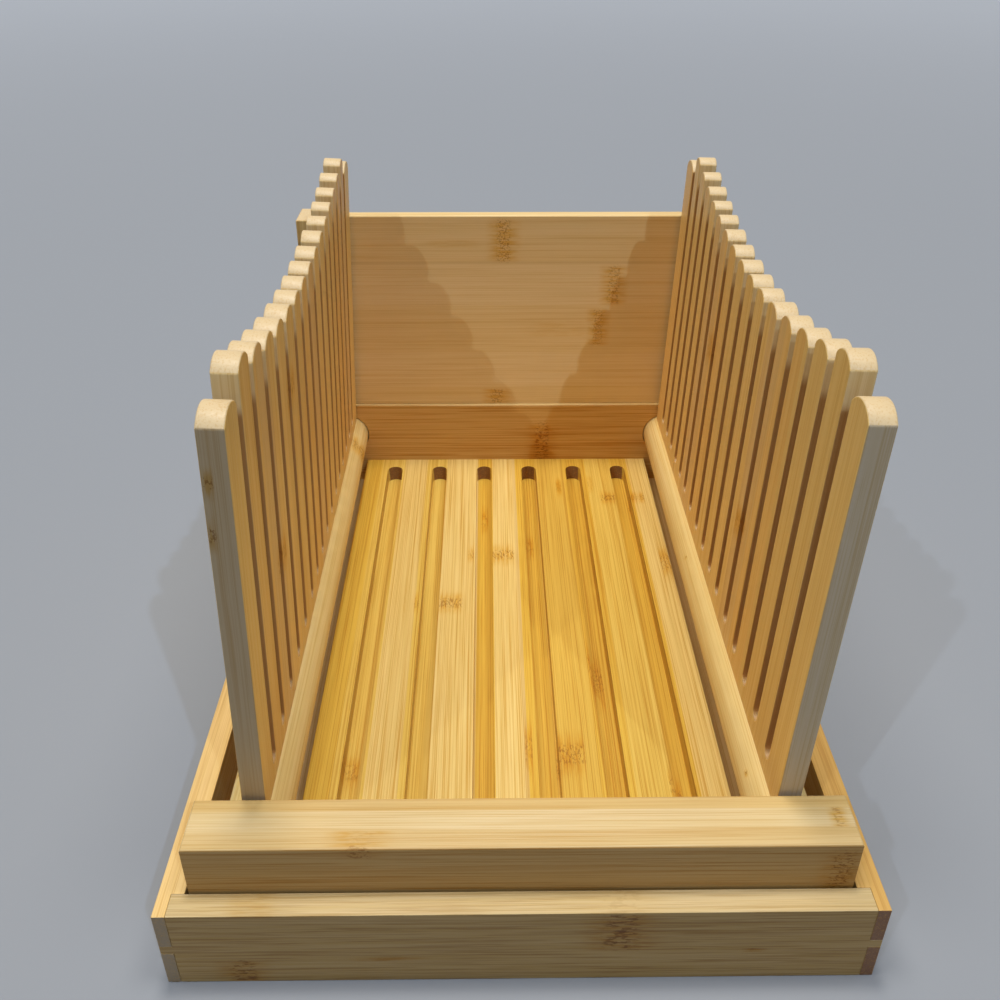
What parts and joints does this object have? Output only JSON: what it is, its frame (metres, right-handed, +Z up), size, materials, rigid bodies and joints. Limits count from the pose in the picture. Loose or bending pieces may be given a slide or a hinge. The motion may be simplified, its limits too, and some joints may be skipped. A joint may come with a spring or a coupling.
{
  "type": "bread slicer guide",
  "caption": "Folding bread slicer guide: slotted combs on round rails stand over a grooved board that lifts out of a shallow crumb tray.",
  "frame": {"origin": "the middle of the tray's underside, on the surface it stands on", "axes": "+X to the right of a person facing the open front, +Y from the front towards the back panel, +Z up"},
  "size_m": [0.228, 0.335, 0.1951],
  "materials": {
    "tray_bamboo": "satin",
    "tray_floor_bamboo": "satin",
    "bar_bamboo": "satin",
    "board_bamboo": "satin",
    "post_bamboo": "satin",
    "dowel_wood": "unfinished",
    "panel_bamboo": "satin",
    "comb_bamboo": "satin",
    "rail_bamboo": "satin"
  },
  "bodies": {
    "crumb_tray": {"crumb_tray_front_wall": "tray_bamboo", "crumb_tray_rear_wall": "tray_bamboo", "crumb_tray_left_wall": "tray_bamboo", "crumb_tray_right_wall": "tray_bamboo", "crumb_tray_floor": "tray_floor_bamboo"},
    "cutting_frame": {"front_bar": "bar_bamboo", "rear_bar": "bar_bamboo", "cutting_board": "board_bamboo", "left_post": "post_bamboo", "right_post": "post_bamboo", "front_board_dowel_left": "dowel_wood", "front_board_dowel_middle": "dowel_wood", "front_board_dowel_right": "dowel_wood", "rear_board_dowel_left": "dowel_wood", "rear_board_dowel_middle": "dowel_wood", "rear_board_dowel_right": "dowel_wood", "left_post_dowel": "dowel_wood", "right_post_dowel": "dowel_wood"},
    "back_panel": {"back_panel": "panel_bamboo"},
    "left_comb": {"left_comb": "comb_bamboo", "left_rail": "rail_bamboo"},
    "right_comb": {"right_comb": "comb_bamboo", "right_rail": "rail_bamboo"}
  },
  "joints": [
    {"name": "frame_lift", "type": "slide", "parent": "crumb_tray", "child": "cutting_frame", "axis": [0, 0, 1], "range_m": [0, 0.06]},
    {"name": "panel_lift", "type": "slide", "parent": "cutting_frame", "child": "back_panel", "axis": [0, 0, 1], "range_m": [0, 0.11]},
    {"name": "left_comb_fold", "type": "hinge", "parent": "cutting_frame", "child": "left_comb", "pos_m": [-0.0874, 0, 0.0346], "axis": [0, 1, 0], "range_deg": [-6.4, 91.5]},
    {"name": "right_comb_fold", "type": "hinge", "parent": "cutting_frame", "child": "right_comb", "pos_m": [0.0874, 0, 0.0346], "axis": [0, -1, 0], "range_deg": [-2.5, 88.8]}
  ]
}
